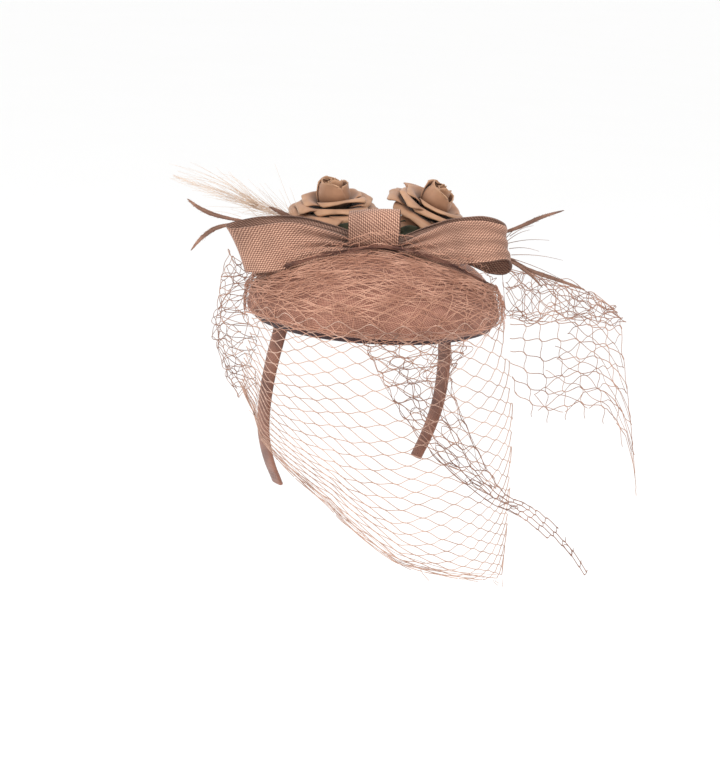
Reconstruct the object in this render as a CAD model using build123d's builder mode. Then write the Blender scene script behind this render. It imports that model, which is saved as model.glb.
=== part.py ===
from build123d import *
import os
from math import cos, sin, radians

# Fascinator headpiece: small domed hat on a slim headband, with ribbon bow, two roses,
# feathers and a birdcage veil.  Millimetres.  +Z up, the wearer faces -Y, the wearer's
# right is -X, the origin is the centre of the brim opening.

# ---- driving dimensions ------------------------------------------------------------
BRIM_R = 82.5            # outer radius of the hat base
DOME_H = 46.0            # height of the dome
SHELL_T = 1.6            # stiffened straw cloth, two layers
LINING_T = 0.8
WIRE_R = 0.9             # edge wire
SWEAT_R = 78.6           # outside radius of the inner ribbon
SWEAT_T = 0.9
BAND_W = 10.0            # headband width, fabric included
BAND_T = 2.6             # headband thickness, fabric included
CORE_W, CORE_T = 8.0, 1.1
BAND_TOP_Z = 37.5
HINGE_X, HINGE_Y, HINGE_Z = 68.5, 8.0, -3.0
BOW_TURN = radians(40)   # bow axis turned from the ear-to-ear line
RIBBON_T = 1.1
VEIL_T = 1.2
VEIL_TOP_Z = -20.0       # where the hanging face net starts
VEIL_LOW_Z = -178.0

os.makedirs("parts", exist_ok=True)


def save(part, name):
    part.label = name
    export_step(part, f"parts/{name}.step")


def dome_points(radius, height, steps=9):
    """Rounded dome outline from the brim up to the crown centre."""
    turns = [radians(90 * i / steps) for i in range(steps)]
    return [(radius * cos(a), height * sin(a)) for a in turns] + [(0.0, height)]


def along(points):
    """Bow frame (along the bow, toward the back, up) turned into the hat frame."""
    c, s = cos(BOW_TURN), sin(BOW_TURN)
    return [(x * c + y * s, -x * s + y * c, z) for x, y, z in points]


BOW_X = (cos(BOW_TURN), -sin(BOW_TURN), 0)
BOW_FRONT = (-sin(BOW_TURN), -cos(BOW_TURN), 0)
bow_side = Plane(origin=(0, 0, 0), x_dir=BOW_X, z_dir=BOW_FRONT)      # x along, y up
bow_end = Plane(origin=(0, 0, 0), x_dir=BOW_FRONT, z_dir=(-BOW_X[0], -BOW_X[1], 0))


def bow_plan(z):
    return Plane(origin=(0, 0, z), x_dir=BOW_X, z_dir=(0, 0, 1))


# ---- hat base ----------------------------------------------------------------------
def dome_shell(outer, inner):
    with BuildPart() as shell:
        with BuildSketch(Plane.XZ):
            with BuildLine():
                out = dome_points(*outer)
                inn = dome_points(*inner)
                Spline(*out)
                Line(out[-1], inn[-1])
                Spline(*inn)
                Line(inn[0], out[0])
            make_face()
        revolve(axis=Axis.Z)
    return shell


crown = dome_shell((BRIM_R, DOME_H), (BRIM_R - SHELL_T, DOME_H - SHELL_T))
save(crown.part, "base_crown_shell")

LIN_R, LIN_H = BRIM_R - SHELL_T - 0.1, DOME_H - SHELL_T - 0.1
lining = dome_shell((LIN_R, LIN_H), (LIN_R - LINING_T, LIN_H - LINING_T))
save(lining.part, "base_lining")

with BuildPart() as brim_wire:
    with BuildSketch(Plane.XZ):
        with Locations((BRIM_R - 1.3, -1.1)):
            Circle(WIRE_R)
    revolve(axis=Axis.Z)
save(brim_wire.part, "brim_wire")

with BuildPart() as brim_binding:
    with BuildSketch(Plane.XZ):
        with Locations((BRIM_R - 1.3, -1.35)):
            RectangleRounded(3.8, 2.6, 0.9)
        with Locations((BRIM_R - 1.3, -1.1)):
            Circle(WIRE_R + 0.05, mode=Mode.SUBTRACT)
    revolve(axis=Axis.Z)
save(brim_binding.part, "brim_binding")

with BuildPart() as sweatband:
    with BuildSketch(Plane.XZ):
        with Locations((SWEAT_R - SWEAT_T / 2, 1.5)):
            Rectangle(SWEAT_T, 13.0)
    revolve(axis=Axis.Z)
save(sweatband.part, "sweatband_ribbon")

# ---- headband ----------------------------------------------------------------------
ARM_POINTS = [(0.0, 0.0, 0.0), (5.5, 1.5, -26.0), (8.5, 4.0, -60.0),
              (4.0, 6.0, -88.0), (-5.0, 7.0, -108.0)]     # out, back, up from the hinge


def arm_path(side):
    return [(side * (HINGE_X + o), HINGE_Y + b, HINGE_Z - 0.6 + u) for o, b, u in ARM_POINTS]


def band_sweep(path_points, width, thick):
    with BuildPart() as swept:
        with BuildLine() as rail:
            Spline(*path_points)
        start = rail.line @ 0
        tangent = rail.line % 0
        with BuildSketch(Plane(origin=start, x_dir=(0, 1, 0), z_dir=tangent)):
            RectangleRounded(width, thick, thick * 0.35)
        sweep()
    return swept


for side, name in ((-1, "right"), (1, "left")):
    path = arm_path(side)
    core = band_sweep(path, CORE_W, CORE_T)
    save(core.part, f"headband_{name}_core")
    wrap = band_sweep(path, BAND_W, BAND_T)
    hole = band_sweep(path, CORE_W + 0.1, CORE_T + 0.1)
    with BuildPart() as cover:
        add(wrap.part)
        add(hole.part, mode=Mode.SUBTRACT)
    save(cover.part, f"headband_{name}_cover")
    with BuildLine() as rail:
        Spline(*path)
    end, direction = rail.line @ 1, rail.line % 1
    with BuildPart() as tip:
        with BuildSketch(Plane(origin=end, x_dir=(0, 1, 0), z_dir=direction)):
            RectangleRounded(BAND_W, BAND_T, 1.0)
        extrude(amount=4.0)
        fillet(tip.faces().sort_by(lambda f: -(f.center() - end).dot(direction))[0].edges(), 1.0)
    save(tip.part, f"headband_{name}_tip")

ARCH_N = 12
ARCH = [(HINGE_X * cos(radians(180 * i / ARCH_N)), HINGE_Y,
         HINGE_Z + 0.6 + (BAND_TOP_Z - HINGE_Z) * sin(radians(180 * i / ARCH_N)) ** 0.8)
        for i in range(ARCH_N + 1)]


def arch_strip(width, thick):
    with BuildPart() as strip:
        with BuildSketch(Plane(origin=(0, HINGE_Y, 0), x_dir=(1, 0, 0), z_dir=(0, -1, 0))):
            with BuildLine():
                outer = [(x * (1 + thick / 2 / HINGE_X), z + thick / 2 * (z - HINGE_Z) / BAND_TOP_Z)
                         for x, _, z in ARCH]
                inner = [(x * (1 - thick / 2 / HINGE_X), z - thick / 2 * (z - HINGE_Z) / BAND_TOP_Z)
                         for x, _, z in ARCH]
                Spline(*outer)
                Line(outer[-1], inner[-1])
                Spline(*inner[::-1])
                Line(inner[0], outer[0])
            make_face()
        extrude(amount=width / 2, both=True)
    return strip


arch_core = arch_strip(CORE_W, CORE_T)
save(arch_core.part, "headband_arch_core")
with BuildPart() as arch_cover:
    add(arch_strip(BAND_W, BAND_T).part)
    add(arch_strip(CORE_W + 0.1, CORE_T + 0.1).part, mode=Mode.SUBTRACT)
save(arch_cover.part, "headband_arch_cover")

# thread tacks that hold the arch to the lining
with BuildPart() as tacks:
    for x, drop in ((-22.0, 1.6), (0.0, 0.0), (22.0, 1.6)):
        top = Plane(origin=(x, HINGE_Y, BAND_TOP_Z + 0.6 - drop), x_dir=(0, 1, 0), z_dir=(1, 0, 0))
        with BuildSketch(top):
            RectangleRounded(BAND_W + 2.6, 6.2, 1.6)
            RectangleRounded(BAND_W + 1.2, 4.8, 1.2, mode=Mode.SUBTRACT)
        extrude(amount=0.6, both=True)
save(tacks.part, "headband_tacks")

# ---- bow of woven ribbon -----------------------------------------------------------
def inset(points, depth):
    """Points of a closed anticlockwise outline moved inward by the given depth."""
    moved = []
    for i, (x, y) in enumerate(points):
        (ax, ay), (bx, by) = points[i - 1], points[(i + 1) % len(points)]
        run = ((bx - ax) ** 2 + (by - ay) ** 2) ** 0.5
        moved.append((x - depth * (by - ay) / run, y + depth * (bx - ax) / run))
    return moved


def ribbon_outline(outline):
    with BuildSketch() as ring:
        with BuildLine():
            Spline(*outline, periodic=True)
        make_face()
        with BuildLine():
            Spline(*inset(outline, RIBBON_T), periodic=True)
        make_face(mode=Mode.SUBTRACT)
    return ring.sketch


crown_clearance = dome_shell((BRIM_R + 1.8, DOME_H + 1.8), (BRIM_R - 25, DOME_H - 25)).part


def ribbon_loop(outline, side_shape):
    """Closed ribbon loop: a plan outline raised into a band, trimmed to its side shape."""
    with BuildPart() as loop:
        with BuildSketch(bow_plan(20)):
            add(ribbon_outline(outline))
        extrude(amount=70)
        add(crown_clearance, mode=Mode.SUBTRACT)
        with BuildSketch(bow_side):
            with BuildLine():
                Polyline(*side_shape, close=True)
            make_face()
        extrude(amount=120, both=True, mode=Mode.INTERSECT)
    return loop


left_outline = [(-15.5, -19), (-50, -8), (-88, -7), (-98, -19), (-88, -32), (-50, -35), (-15.5, -25)]
left_side = [(-100, 56), (-60, 64), (-13, 55), (-13, 44), (-48, 32), (-82, 25.5)]
bow_left = ribbon_loop(left_outline, left_side)
save(bow_left.part, "bow_left_loop")

right_outline = [(15.5, -25), (42, -34), (76, -29), (90, -18), (78, -10), (42, -12.5), (15.5, -19)]
right_side = [(13, 53), (44, 67), (78, 68), (92, 59), (88, 43), (66, 34), (44, 34), (13, 44)]
bow_right = ribbon_loop(right_outline, right_side)
save(bow_right.part, "bow_right_loop")

# gathered waist that joins the two loops
with BuildPart() as bow_waist:
    with BuildSketch(bow_plan(49.6)):
        with Locations((0, -24.6)):
            RectangleRounded(27.4, 5.6, 2.2)
    extrude(amount=5.4)
    fillet(bow_waist.edges().filter_by(Plane.XY), 1.2)
save(bow_waist.part, "bow_waist")

# wide puffed loop wrapped over the waist
with BuildPart() as bow_centre:
    with BuildSketch(bow_end):
        add(ribbon_outline([(35.5, 50), (36.5, 60), (28, 71.5), (17, 64), (14.8, 54), (25, 45.8)]))
    extrude(amount=13.8, both=True)
save(bow_centre.part, "bow_centre_loop")

# ---- roses -------------------------------------------------------------------------
PETAL_T = 0.9


def petal_ring(outline, count, gap_deg, turn):
    """Cupped petals: one lathe shell cut into equal sectors."""
    with BuildPart() as petal:
        with BuildSketch(Plane.XZ):
            with BuildLine():
                back = [(x + PETAL_T, z - 0.2) for x, z in outline[:-1]]
                back.append((outline[-1][0] + 0.3, outline[-1][1] - PETAL_T))
                Spline(*outline)
                Line(outline[-1], back[-1])
                Spline(*back[::-1])
                Line(back[0], outline[0])
            make_face()
        revolve(axis=Axis.Z, revolution_arc=360 / count - gap_deg)
    with BuildPart() as ring:
        for i in range(count):
            with Locations(Location((0, 0, 0), (0, 0, turn + 360 * i / count))):
                add(petal.part)
    return ring


def rose(name, location, stem_length):
    with BuildPart() as bud:
        with BuildSketch(Plane.XZ):
            with BuildLine():
                Polyline((0, 5.2), (4.6, 5.2))
                Spline((4.6, 5.2), (7.4, 14), (8.2, 20), (5.0, 27), (0, 28.0))
                Line((0, 28.0), (0, 5.2))
            make_face()
        revolve(axis=Axis.Z)
    inner = petal_ring([(5.6, 7.0), (10.2, 14), (12.2, 20), (13.4, 25)], 3, 14, 10)
    middle = petal_ring([(7.2, 6.0), (14, 11.5), (18.5, 17), (21.5, 21.5)], 5, 8, 40)
    outer = petal_ring([(8.8, 4.6), (17, 8.0), (24.5, 12.0), (30, 12.4)], 6, 6, 25)
    with BuildPart() as calyx:
        with BuildSketch(Plane.XZ):
            with BuildLine():
                Polyline((0, 0), (6.0, 0), (10.5, 3.6), (9.9, 4.3), (5.4, 5.1), (0, 5.1), close=True)
            make_face()
        revolve(axis=Axis.Z)
    with BuildPart() as stem:
        with BuildSketch():
            Circle(3.0)
        extrude(amount=-stem_length)
    rows = (("bud", bud), ("inner_petals", inner), ("middle_petals", middle),
            ("outer_petals", outer), ("calyx", calyx), ("stem", stem))
    for label, piece in rows:
        save(piece.part.moved(location), f"rose_{name}_{label}")


def bow_location(point, tilt_along=0.0, tilt_front=0.0):
    """Place in the bow frame, leaning along the bow (+) and toward the wearer's front (+)."""
    turn = Location((0, 0, 0), (0, 0, -40))
    return turn * Location(point) * Location((0, 0, 0), (tilt_front, tilt_along, 0))


rose("left", bow_location((-28, 19, 54.0), tilt_along=-4, tilt_front=6), 9.0)
rose("right", bow_location((31, 19, 56.5), tilt_along=24, tilt_front=8), 11.5)

# leaves showing under and between the flowers
with BuildPart() as leaves:
    for angle, x, y, z in ((160, -2, 2, 50), (15, 4, 2, 50.5), (95, 0, 6, 47.2)):
        base = along([(x, y, z)])[0]
        d = radians(angle - 40)
        with BuildSketch(Plane(origin=base, x_dir=(cos(d), sin(d), 0.1), z_dir=(0, 0, 1))):
            with BuildLine():
                Spline((0, 0), (9, 5), (21, 0))
                Spline((21, 0), (9, -5), (0, 0))
            make_face()
        extrude(amount=0.7)
save(leaves.part, "rose_leaves")

# felt disc that carries flowers, feathers and bow, moulded to the crown
with BuildPart() as trim_disc:
    add(dome_shell((BRIM_R + 1.5, DOME_H + 1.4), (BRIM_R + 0.1, DOME_H + 0.1)).part)
    with BuildSketch(bow_plan(0)):
        with Locations((0, 2)):
            Ellipse(40, 28)
    extrude(amount=60, mode=Mode.INTERSECT)
save(trim_disc.part, "trim_disc")

# ---- feathers ----------------------------------------------------------------------
FEATHER_T = 0.7


def feather(name, depth, spine, width):
    """Flat vane round a bent quill, standing in the bow's own upright plane."""
    back = [(spine[i][0], spine[i][1] + width * w) for i, w in enumerate((0.12, 0.5, 0.42, 0))]
    front = [(spine[i][0], spine[i][1] - width * w) for i, w in enumerate((0.12, 0.5, 0.42, 0))]
    with BuildPart() as vane:
        upright = Plane(origin=along([(0, -depth, 0)])[0], x_dir=BOW_X, z_dir=BOW_FRONT)
        with BuildSketch(upright):
            with BuildLine():
                Spline(*back)
                Spline(*front)
                Line(back[0], front[0])
            make_face()
        extrude(amount=FEATHER_T)
    save(vane.part, f"feather_{name}")


feather("left_upper", -4.0, [(-42, 49), (-80, 51), (-104, 55), (-124, 63)], 6.0)
feather("left_lower", -2.0, [(-42, 48), (-78, 49), (-104, 42), (-122, 28)], 6.0)
feather("left_plume", -6.5, [(-42, 50), (-78, 59), (-110, 70), (-138, 80)], 8.0)
feather("left_short", 0.5, [(-40, 47), (-54, 52), (-66, 59), (-78, 65)], 5.0)
feather("right_upper", -4.0, [(44, 47), (72, 50.5), (100, 60), (126, 71)], 6.0)
feather("right_lower", -1.5, [(44, 46), (78, 42), (112, 30), (140, 17)], 6.5)
feather("right_short", 1.0, [(44, 45), (72, 38), (94, 30), (114, 19)], 4.5)

# ---- birdcage net ------------------------------------------------------------------
# layer gathered over the crown and out past the brim
with BuildPart() as veil_crown:
    with BuildSketch(Plane.XZ):
        with BuildLine():
            inner = [p for p in dome_points(BRIM_R + 2.0, DOME_H + 1.8, 12) if p[0] > 40]
            outer = [p for p in dome_points(BRIM_R + 3.2, DOME_H + 3.0, 12) if p[0] > 40]
            inner.insert(0, (BRIM_R + 3.6, -17.0))
            outer.insert(0, (BRIM_R + 3.6 + VEIL_T, -17.0))
            Spline(*inner)
            Line(inner[-1], outer[-1])
            Spline(*outer)
            Line(outer[0], inner[0])
        make_face()
    revolve(axis=Axis.Z, revolution_arc=190)
with BuildPart() as veil_crown_front:
    with Locations(Location((0, 0, 0), (0, 0, 145))):
        add(veil_crown.part)
    with BuildSketch(bow_plan(14)):
        with Locations((0, 62)):
            Rectangle(240, 198)
    extrude(amount=50, mode=Mode.SUBTRACT)
save(veil_crown_front.part, "veil_crown")

# bundle where the net is gathered along the foot of the bow
with BuildPart() as gather:
    with BuildLine() as foot:
        Spline(*along([(-38, -38.6, 41.2), (-20, -38.6, 44.6), (0, -38.6, 45.6), (20, -38.6, 44.6),
                       (38, -38.6, 41.2)]))
    with BuildSketch(Plane(origin=foot.line @ 0, z_dir=foot.line % 0)):
        Circle(1.2)
    sweep()
save(gather.part, "veil_gather")


def face_ellipse_shell(grow):
    """Tall flared oval skin that hangs round the head."""
    rows = ((VEIL_TOP_Z, 90.0, 94.0), (-100.0, 92.0, 104.0), (VEIL_LOW_Z, 93.0, 108.0))
    with BuildPart() as skin:
        for z, a, b in rows:
            with BuildSketch(Plane.XY.offset(z)):
                Ellipse(a + grow + VEIL_T / 2, b + grow + VEIL_T / 2)
        loft()
        for z, a, b in rows:
            with BuildSketch(Plane.XY.offset(z)):
                Ellipse(a + grow - VEIL_T / 2, b + grow - VEIL_T / 2)
        loft(mode=Mode.SUBTRACT)
    return skin


with BuildPart() as veil_face:
    add(face_ellipse_shell(0.0).part)
    with BuildSketch(Plane(origin=(0, 18, 0), x_dir=(1, 0, 0), z_dir=(0, -1, 0))):
        with BuildLine():
            Spline((-97, -84), (-88, -102), (-77, -122), (-52, -147), (-12, -158), (38, -170), (62, -174))
            Polyline((62, -174), (62, 0), (-97, 0), (-97, -84))
        make_face()
    extrude(amount=150, mode=Mode.INTERSECT)
save(veil_face.part, "veil_face")

# folded-over edge of the net, lying on the face net
with BuildPart() as veil_fold:
    add(face_ellipse_shell(2.4).part)
    with BuildSketch(bow_side):
        with BuildLine():
            Polyline((-5, 0), (60, 0), (70, -55), (88, -112), (80, -122), (48, -88), (18, -55), close=True)
        make_face()
    extrude(amount=140, mode=Mode.INTERSECT)
save(veil_fold.part, "veil_fold")

with BuildPart() as veil_tail:
    near, far = along([(90, -65, -126)])[0], along([(134, -69, -156)])[0]
    span = [far[i] - near[i] for i in range(3)]
    length = sum(v * v for v in span) ** 0.5
    with BuildSketch(Plane(origin=near, x_dir=span, z_dir=BOW_FRONT)):
        with BuildLine():
            Spline((0, 10), (length * 0.5, 9), (length, 1))
            Polyline((length, 1), (length, -1))
            Spline((length, -1), (length * 0.5, -9), (0, -12))
            Line((0, -12), (0, 10))
        make_face()
    extrude(amount=VEIL_T)
save(veil_tail.part, "veil_tail")


def upright_net(plan, outline):
    """Wavy standing sheet of net, cut to its outline seen from the bow's front."""
    half = VEIL_T / 2
    with BuildPart() as sheet:
        with BuildSketch(bow_plan(-120)):
            with BuildLine():
                near = [(x, y - half) for x, y in plan]
                back = [(x, y + half) for x, y in plan]
                Spline(*near)
                Line(near[-1], back[-1])
                Spline(*back[::-1])
                Line(back[0], near[0])
            make_face()
        extrude(amount=160)
        with BuildSketch(bow_side):
            with BuildLine():
                Polyline(*outline, close=True)
            make_face()
        extrude(amount=90, both=True, mode=Mode.INTERSECT)
    return sheet


wing = upright_net([(90, 3), (106, 9), (124, 3), (144, 8), (162, 1), (178, 6)],
                   [(90, 24), (118, 14), (150, 6), (167, -6), (174, -60), (177, -112), (163, -92),
                    (150, -77), (122, -73), (99, -66), (92, -30)])
save(wing.part, "veil_wing")
wing_under = upright_net([(90, 14), (108, 20), (126, 15), (146, 21), (160, 17)],
                         [(90, 12), (120, 4), (146, -4), (156, -40), (150, -84), (118, -80), (96, -50)])
save(wing_under.part, "veil_wing_under")

ruffle = upright_net([(-107, 2), (-102, -8), (-98, 1), (-93.5, -11), (-90, -3), (-87, -13)],
                     [(-107, 22), (-87, 27), (-87, -18), (-92, -66), (-104, -40)])
save(ruffle.part, "veil_ruffle")
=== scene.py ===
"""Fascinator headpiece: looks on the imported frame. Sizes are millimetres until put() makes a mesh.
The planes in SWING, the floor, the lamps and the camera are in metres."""
import math
import bpy
import numpy as np
from mathutils import Matrix, Vector


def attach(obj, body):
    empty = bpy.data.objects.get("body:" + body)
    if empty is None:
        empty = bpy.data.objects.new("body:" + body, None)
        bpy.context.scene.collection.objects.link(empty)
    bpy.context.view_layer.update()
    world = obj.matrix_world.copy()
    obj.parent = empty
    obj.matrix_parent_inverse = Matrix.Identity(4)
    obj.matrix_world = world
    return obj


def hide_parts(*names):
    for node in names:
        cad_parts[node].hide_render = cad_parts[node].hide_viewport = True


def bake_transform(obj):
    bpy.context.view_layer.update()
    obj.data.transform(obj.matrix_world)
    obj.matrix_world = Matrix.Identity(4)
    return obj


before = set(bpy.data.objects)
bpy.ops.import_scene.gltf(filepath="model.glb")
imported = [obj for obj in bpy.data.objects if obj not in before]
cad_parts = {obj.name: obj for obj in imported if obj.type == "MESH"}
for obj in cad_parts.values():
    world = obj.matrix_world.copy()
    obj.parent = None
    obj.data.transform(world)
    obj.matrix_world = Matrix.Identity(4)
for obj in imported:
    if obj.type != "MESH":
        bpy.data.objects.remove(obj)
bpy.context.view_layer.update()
MM = 0.001

BRIM_R, DOME_H = 82.5, 46.0
TURN = math.radians(40)
CT, ST = math.cos(TURN), math.sin(TURN)


def bow(points):
    """Bow frame (along, back, up) to the hat frame."""
    p = np.asarray(points, float)
    return np.stack([p[..., 0] * CT + p[..., 1] * ST, -p[..., 0] * ST + p[..., 1] * CT, p[..., 2]], -1)


def catmull(ctrl, n, closed=False):
    """Smooth curve through control rows, n samples."""
    c = np.asarray(ctrl, float)
    m = len(c)
    t = np.linspace(0, m if closed else m - 1, n, endpoint=not closed)
    i = np.minimum(t.astype(int), m - 1 if closed else m - 2)
    f = (t - i)[:, None]

    def at(k):
        return c[k % m] if closed else c[np.clip(k, 0, m - 1)]
    a, b, d, e = at(i - 1), at(i), at(i + 1), at(i + 2)
    return 0.5 * (2 * b + (d - a) * f + (2 * a - 5 * b + 4 * d - e) * f ** 2
                  + (3 * b - a - 3 * d + e) * f ** 3)


def unit(v, tiny=0.0):
    return v / (np.linalg.norm(v, axis=-1, keepdims=True) + tiny)


def along(line, u):
    """Point at share u of the way through a curve's rows."""
    at = np.clip(u, 0, 1) * (len(line) - 1)
    return np.stack([np.interp(at, np.arange(len(line)), line[:, c]) for c in range(3)], -1)


def arched(a, b, rise, n=7):
    """Points from a to b, lifted by rise in the middle."""
    q = np.linspace(0, 1, n)[:, None]
    return np.array(a) + (np.array(b) - np.array(a)) * q + np.array([0, 0, rise]) * np.sin(math.pi * q)


# ---- meshes ------------------------------------------------------------------------
def show(name, data):
    obj = bpy.data.objects.new(name, data)
    bpy.context.scene.collection.objects.link(obj)
    return obj


def put(name, verts, faces, mat, uv=None, *, replaces=(), ride=True):
    """Smooth mesh from millimetres, carried by the hat unless ride is False."""
    mesh = bpy.data.meshes.new(name)
    faces = faces.tolist() if isinstance(faces, np.ndarray) else faces
    mesh.from_pydata((np.asarray(verts) * MM).tolist(), [], faces)
    mesh.update()
    if uv is not None:
        layer = mesh.uv_layers.new(name="UVMap")
        loops = np.empty(len(mesh.loops), dtype=np.int32)
        mesh.loops.foreach_get("vertex_index", loops)
        layer.data.foreach_set("uv", np.asarray(uv, float)[loops].ravel())
    mesh.polygons.foreach_set("use_smooth", [True] * len(mesh.polygons))
    obj = show(name, mesh)
    mesh.materials.append(mat)
    if ride:
        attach(obj, "hat")
    if replaces:
        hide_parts(*replaces)
    return obj


def grid_faces(rows, cols, wrap_cols=False, wrap_rows=False):
    r = np.arange(rows if wrap_rows else rows - 1)
    c = np.arange(cols if wrap_cols else cols - 1)
    i, j = np.meshgrid(r, c, indexing="ij")
    a = i * cols + j
    b = i * cols + (j + 1) % cols
    d = ((i + 1) % rows) * cols + j
    e = ((i + 1) % rows) * cols + (j + 1) % cols
    return np.stack([a, b, e, d], -1).reshape(-1, 4)


def thicken(surface, thick, wrap_rows=False, wrap_cols=False):
    """Closed sheet of the given thickness from a rows x cols x 3 surface."""
    rows, cols, _ = surface.shape
    du = np.roll(surface, -1, 0) - np.roll(surface, 1, 0)
    dv = np.roll(surface, -1, 1) - np.roll(surface, 1, 1)
    if not wrap_rows:
        du[0], du[-1] = surface[1] - surface[0], surface[-1] - surface[-2]
    if not wrap_cols:
        dv[:, 0], dv[:, -1] = surface[:, 1] - surface[:, 0], surface[:, -1] - surface[:, -2]
    n = unit(np.cross(du, dv), 1e-9)
    top, low = surface + n * thick / 2, surface - n * thick / 2
    verts = np.concatenate([top.reshape(-1, 3), low.reshape(-1, 3)])
    f = grid_faces(rows, cols, wrap_cols, wrap_rows)
    k = rows * cols
    faces = [f, f[:, ::-1] + k]
    idx = np.arange(k).reshape(rows, cols)
    rims = []
    if not wrap_rows:
        rims += [(idx[0], False), (idx[-1], True)]
    if not wrap_cols:
        rims += [(idx[:, 0], True), (idx[:, -1], False)]
    for line, flip in rims:
        a, b = line[:-1], line[1:]
        if (wrap_cols and len(line) == cols) or (wrap_rows and len(line) == rows):
            a, b = line, np.roll(line, -1)
        q = np.stack([a, b, b + k, a + k], -1)
        faces.append(q if flip else q[:, ::-1])
    return verts, np.concatenate(faces)


def two_faced(surface, thick, u, v):
    """Thickened surface with the same UV on both faces."""
    verts, faces = thicken(surface, thick)
    uv = np.stack([u, v], -1).reshape(-1, 2)
    return verts, faces, np.vstack([uv, uv])


def join(parts):
    """Join (verts, faces, uv) triples into one."""
    v, f, u, n = [], [], [], 0
    for verts, faces, uv in parts:
        v.append(verts)
        f.extend((np.asarray(faces) + n).tolist())
        u.append(uv if uv is not None else np.zeros((len(verts), 2)))
        n += len(verts)
    return np.concatenate(v), f, np.concatenate(u)


def tubes(lines, radius, sides=4):
    """Open tubes round many polylines of equal length: lines is (count, points, 3). The radius is
    one value, or one for each point of a line."""
    lines = np.asarray(lines, float)
    e, n, _ = lines.shape
    t = unit(np.gradient(lines, axis=1), 1e-9)
    ref = np.where(np.abs(t[..., 2:3]) < 0.8, np.array([0, 0, 1.0]), np.array([1.0, 0, 0]))
    a = unit(np.cross(t, ref), 1e-9)
    b = np.cross(t, a)
    ang = np.arange(sides) * 2 * math.pi / sides
    rad = np.broadcast_to(np.asarray(radius, float), (e, n))
    ring = (a[:, :, None, :] * np.cos(ang)[None, None, :, None]
            + b[:, :, None, :] * np.sin(ang)[None, None, :, None]) * rad[:, :, None, None]
    verts = (lines[:, :, None, :] + ring).reshape(-1, 3)
    k, i, j = np.meshgrid(np.arange(e), np.arange(n - 1), np.arange(sides), indexing="ij")
    s0 = k * n * sides
    q = np.stack([s0 + i * sides + j, s0 + i * sides + (j + 1) % sides,
                  s0 + (i + 1) * sides + (j + 1) % sides, s0 + (i + 1) * sides + j], -1).reshape(-1, 4)
    return verts, q


# ---- materials ---------------------------------------------------------------------
class Shade:
    """Small helper that wires a Principled material from maths and textures."""

    def __init__(self, name, rough=0.7, sheen=0.0, spec=0.3, metal=0.0):
        self.mat = bpy.data.materials.new(name)
        self.mat.use_nodes = True
        self.t = self.mat.node_tree
        self.bsdf = self.t.nodes["Principled BSDF"]
        for socket, value in (("Roughness", rough), ("Metallic", metal), ("Specular IOR Level", spec),
                              ("Sheen Weight", sheen), ("Sheen Roughness", 0.5)):
            self.bsdf.inputs[socket].default_value = value
        self.coord = self.t.nodes.new("ShaderNodeTexCoord")

    def put(self, socket, value):
        if hasattr(value, "is_linked") or hasattr(value, "links"):
            self.t.links.new(value, socket)
        else:
            socket.default_value = value

    def math(self, op, a, b=0.0):
        n = self.t.nodes.new("ShaderNodeMath")
        n.operation = op
        self.put(n.inputs[0], a)
        self.put(n.inputs[1], b)
        return n.outputs[0]

    def mul(self, a, b):
        return self.math("MULTIPLY", a, b)

    def add(self, a, b):
        return self.math("ADD", a, b)

    def noise(self, vec, scale, detail=3.0, rough=0.5):
        n = self.t.nodes.new("ShaderNodeTexNoise")
        self.t.links.new(vec, n.inputs["Vector"])
        n.inputs["Scale"].default_value = scale
        n.inputs["Detail"].default_value = detail
        n.inputs["Roughness"].default_value = rough
        return n.outputs["Fac"]

    def mix(self, fac, a, b):
        n = self.t.nodes.new("ShaderNodeMix")
        n.data_type = "RGBA"
        self.put(n.inputs[0], fac)
        self.put(n.inputs[6], a)
        self.put(n.inputs[7], b)
        return n.outputs[2]

    def ramp(self, fac, low, high):
        n = self.t.nodes.new("ShaderNodeMapRange")
        self.put(n.inputs["Value"], fac)
        n.inputs["From Min"].default_value, n.inputs["From Max"].default_value = low, high
        n.clamp = True
        return n.outputs["Result"]

    def split(self, vec):
        n = self.t.nodes.new("ShaderNodeSeparateXYZ")
        self.t.links.new(vec, n.inputs[0])
        return n.outputs

    def bump(self, height, dist, strength=1.0):
        n = self.t.nodes.new("ShaderNodeBump")
        n.inputs["Distance"].default_value = dist
        n.inputs["Strength"].default_value = strength
        self.t.links.new(height, n.inputs["Height"])
        self.t.links.new(n.outputs[0], self.bsdf.inputs["Normal"])

    def colour(self, value):
        self.put(self.bsdf.inputs["Base Color"], value)


def rgb(r, g, b):
    """Display colour (0-255) to linear."""
    def lin(c):
        c /= 255
        return c / 12.92 if c <= 0.04045 else ((c + 0.055) / 1.055) ** 2.4
    return (lin(r), lin(g), lin(b), 1.0)


# Painted shade: weave() mixes a ribbon loop's inner face halfway to the dark gap colour.
INSIDE_SHADE = 1000.0          # UV offset that marks the inner face of a ribbon loop


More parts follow.
